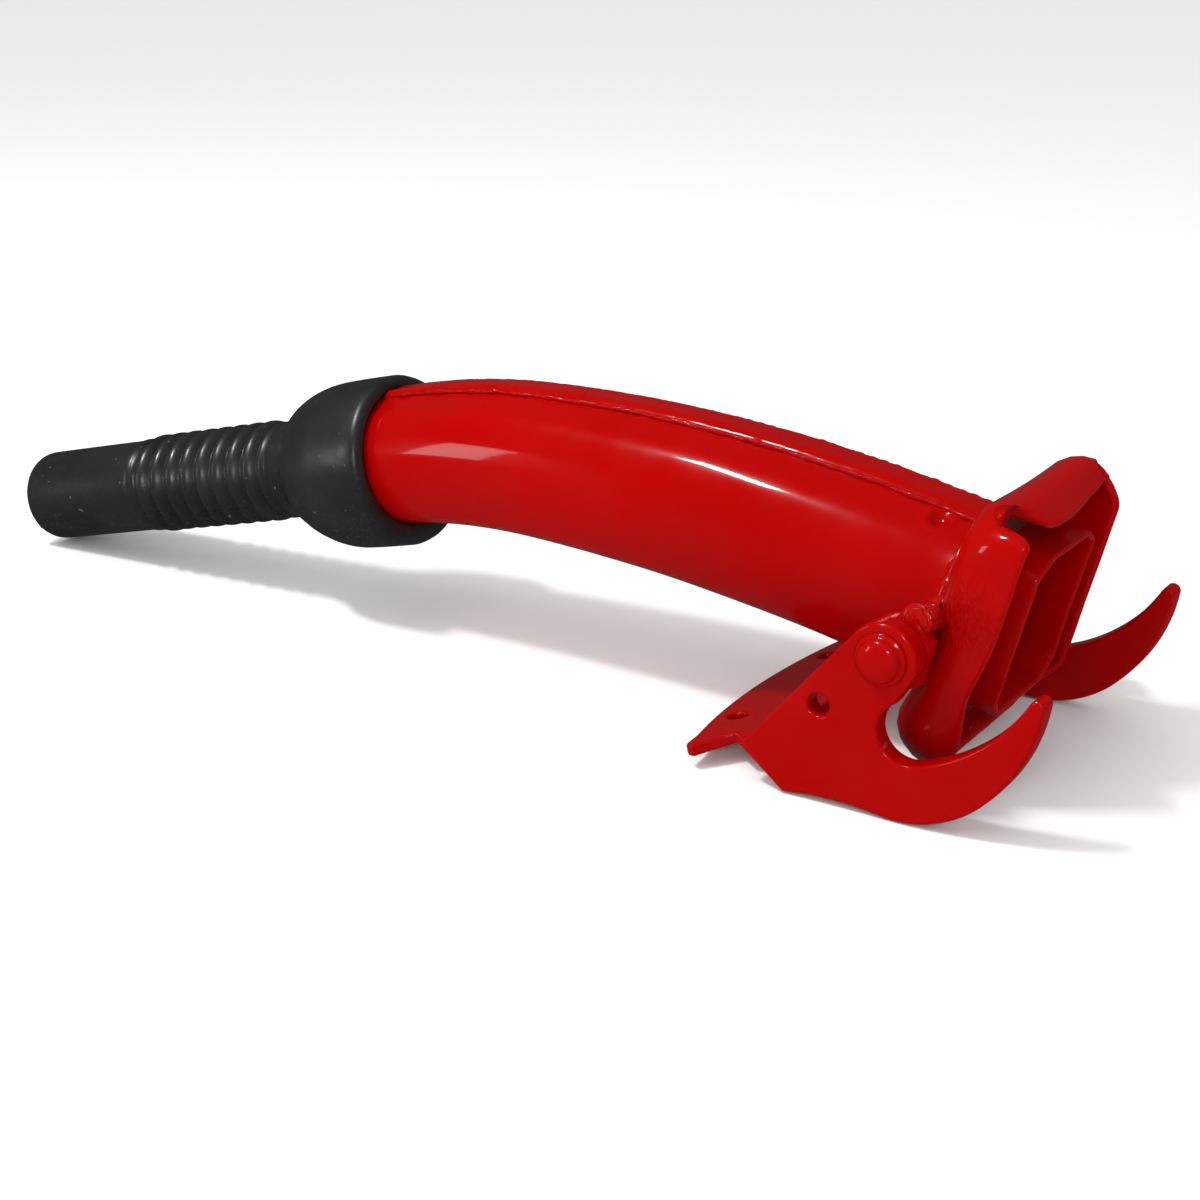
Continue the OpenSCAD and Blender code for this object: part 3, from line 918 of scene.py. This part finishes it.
# Neck between the shoulder and the ribs, as (distance, radius)
NECK = ((26.8, 12.9), (28.4, 12.2), (30.9, 11.5), (33.0, 10.7), (33.7, 10.5), (34.3, 11.0), (34.9, 11.1),
        (35.5, 10.8), (36.0, 10.3))
TIP_STEP = 0.25
TIP_EDGE_LEN = 2
TIP_EDGE_R = 1.0
NOZZLE_SIDES = 120


def rib_radius(d, a):
    """Ribbed surface, with the ribs below the mould lines a little out of step with those above."""
    below = smooth_step(MOULD_LINE - math.sin(a), -0.03, 0.03)
    ends = smooth_step(d, RIBS_FROM, RIBS_FROM + 4) * (1 - smooth_step(d, RIBS_TO - 4, RIBS_TO))
    phase = (d - RIB_START - MOULD_SHIFT * below * ends) / RIB_PITCH
    wave = 0.5 + 0.5 * math.cos(2 * math.pi * phase)
    return RIB_R - RIB_DEPTH * (1 - wave ** 0.5) - MOULD_STEP * below * ends


def nozzle_profile():
    """(distance from the sleeve's rim, radius) along the outside, round the tip, and back along the bore.

    The rows of the ribs have exactly the radius RIB_R, and rubber_nozzle() carves them.
    """
    lip = [(0.6, GRIP_R), (-0.2, GRIP_R + 0.2), (-0.9, GRIP_R + 0.9), (-1.2, GRIP_R + 1.9),
           (-1.1, SLEEVE_R - 1.2), (-0.6, SLEEVE_R - 0.4)]
    sleeve = [(0.6, SLEEVE_R), (4, SLEEVE_R), (8, SLEEVE_R), (10.5, SLEEVE_R - 0.05)]
    for t in (i / 18 for i in range(18)):
        rise = SHOULDER_RISE * (1 - t ** 2.1) ** 0.85
        sleeve.append((SHOULDER_START + SHOULDER_LEN * t, SHOULDER_FOOT_R + rise))
    steps = RIB_COUNT * RIB_STEPS
    ribs = [(RIBS_FROM + (RIBS_TO - RIBS_FROM) * i / steps, RIB_R) for i in range(steps + 1)]
    step, plain, edge = TIP_START + 1.2, TIP_START + 3.4, NOZZLE_LEN - TIP_EDGE_LEN
    tip = [(step - 0.7, TIP_R - 0.1), (step, TIP_R + TIP_STEP), (step + 1.2, TIP_R + TIP_STEP)]
    tip += [(plain + (edge - plain) * t, TIP_R) for t in (0, 0.33, 0.66, 1.0)]
    for a in (25, 50, 75, 90):
        inwards = TIP_EDGE_R - TIP_EDGE_R * math.cos(rad(a))
        tip.append((edge + TIP_EDGE_LEN * math.sin(rad(a)), TIP_R - inwards))
    bore = [(NOZZLE_LEN - 0.3, BORE_R), (NOZZLE_LEN - 2, BORE_R - 0.05)]
    bore += [(NOZZLE_LEN - 4 - (NOZZLE_LEN - 31) * t, BORE_R) for t in (i / 24 for i in range(25))]
    return lip + sleeve + list(NECK) + ribs + tip + bore + [(23, GRIP_R), (10, GRIP_R)]


def carve(d, r, a):
    """Mould line and ribs at a place on the profile, as a change of radius."""
    line = MOULD_LINE_H * math.exp(-((math.sin(a) - MOULD_LINE) / 0.03) ** 2)
    if r == RIB_R:
        line += rib_radius(d, a) - RIB_R if RIBS_FROM < d < RIBS_TO else -RIB_DEPTH
    return line


def rubber_nozzle():
    """One moulding: sleeve, ribbed bellows and plain tip, with a mould line along each side."""
    rings = []
    for d, r in nozzle_profile():
        ring = []
        for i in range(NOZZLE_SIDES):
            a = 2 * math.pi * i / NOZZLE_SIDES
            soft = 0.05 * noise.noise(Vector((d * 0.08, math.cos(a), math.sin(a))))
            sag = (0.35 - 0.65 * math.sin(a)) * (1 - smooth_step(d, 12, 26)) if r > GRIP_R + 1 else 0
            ring.append(in_nozzle(d, r + sag + (carve(d, r, a) + soft if r > BORE_R + 0.2 else 0), a))
        rings.append(ring)
    obj = loft("rubber_nozzle", rings, RUBBER, None, closed_loop=True)
    bend_from = in_nozzle(RIB_START + RIB_PITCH, 0, 0)
    bend_to = in_nozzle(RIB_START + RIB_PITCH * 6, 0, 0)
    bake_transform(obj)
    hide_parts("nozzle_sleeve", "bellows_base", "bellows_end", "nozzle_tip")


# ---------------------------------------------------------------- pieces that keep their CAD shape
def dress_cad_nodes():
    looks = {"pivot_lug_right": PAINT, "pivot_lug_left": PAINT, "mouth_gasket": GASKET}
    for node, material in looks.items():
        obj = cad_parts[node]
        obj.data.materials.clear()
        obj.data.materials.append(material)


# ---------------------------------------------------------------- studio
WORLD_LIGHT = 0.74
WORLD_REFLECTED = 0.05
SKY_LIGHT = 0.80
SKY_SPREAD = 50
SKY_TILT = (28, -14)
FLOOR_SIZE = 30.0
FLOOR_GAP = 0.0002
FLOOR_TONE = 0.93
FLOOR_ROUGHNESS = 0.8


def area_light(name, at, towards, size, power, size_y=None):
    """A lamp at a place, facing another, with its size in metres and its power in watts."""
    data = bpy.data.lights.new(name, "AREA")
    data.shape = "RECTANGLE"
    data.size = size
    data.size_y = size_y or size
    data.energy = power
    obj = bpy.data.objects.new(name, data)
    obj.location = at
    obj.rotation_euler = (Vector(towards) - Vector(at)).to_track_quat("-Z", "Y").to_euler()
    bpy.context.scene.collection.objects.link(obj)


def pale_world():
    """White light from all round, which the gloss paint hardly mirrors."""
    world = bpy.data.worlds.new("studio")
    bpy.context.scene.world = world
    world.use_nodes = True
    nodes, links = world.node_tree.nodes, world.node_tree.links
    background = nodes["Background"]
    background.inputs["Color"].default_value = grey(1)
    paths = nodes.new("ShaderNodeLightPath")
    strength = nodes.new("ShaderNodeMapRange")
    strength.inputs["To Min"].default_value = WORLD_LIGHT
    strength.inputs["To Max"].default_value = WORLD_REFLECTED
    links.new(paths.outputs["Is Glossy Ray"], strength.inputs["Value"])
    links.new(strength.outputs["Result"], background.inputs["Strength"])


def lamps():
    area_light("key", (-0.36, -0.34, 0.80), (-0.10, 0, 0), 0.16, 4.6, 0.06)
    area_light("left_fill", (-0.80, -0.75, 0.22), (-0.15, 0, 0), 0.14, 0.8, 0.30)
    area_light("front_fill", (0.30, -0.75, 0.40), (0, 0, 0), 0.12, 1.3)
    sun = bpy.data.lights.new("sky_sun", "SUN")
    sun.energy = SKY_LIGHT
    sun.angle = rad(SKY_SPREAD)
    lamp = bpy.data.objects.new("sky_sun", sun)
    lamp.rotation_euler = (rad(SKY_TILT[0]), rad(SKY_TILT[1]), 0)
    lamp.visible_glossy = False
    bpy.context.scene.collection.objects.link(lamp)


def pale_floor():
    bpy.ops.mesh.primitive_plane_add(size=FLOOR_SIZE, location=(0, 0, cad_low.z - FLOOR_GAP))
    floor = bpy.context.object
    floor.name = "studio_floor"
    floor.visible_glossy = False
    mat, _, _, shader, _ = new_material("pale_floor")
    shader.inputs["Base Color"].default_value = grey(FLOOR_TONE)
    shader.inputs["Roughness"].default_value = FLOOR_ROUGHNESS
    floor.data.materials.append(mat)


# Camera: place in metres, bearing and dip in degrees, and lens and sensor width in millimetres
CAMERA_AT = (0.1349, -0.3324, 0.1266)
CAMERA_AZIMUTH = 33.04
CAMERA_ELEVATION = 19.75
CAMERA_LENS = 60.0
CAMERA_SENSOR = 36.0


def camera():
    data = bpy.data.cameras.new("camera")
    data.lens = CAMERA_LENS
    data.sensor_width = CAMERA_SENSOR
    data.clip_start = 0.01
    obj = bpy.data.objects.new("camera", data)
    obj.location = CAMERA_AT
    obj.rotation_euler = (rad(90 - CAMERA_ELEVATION), 0, rad(CAMERA_AZIMUTH))
    bpy.context.scene.collection.objects.link(obj)
    bpy.context.scene.camera = obj


spout_tube()
breather_channel()
strip_welds()
collar_cup()
mouth_spigot()
mouth_welds()
cam_arms()
thumb_plate()
rivets()
rubber_nozzle()
dress_cad_nodes()
pale_world()
lamps()
pale_floor()
camera()
bpy.context.scene.view_settings.view_transform = "Standard"
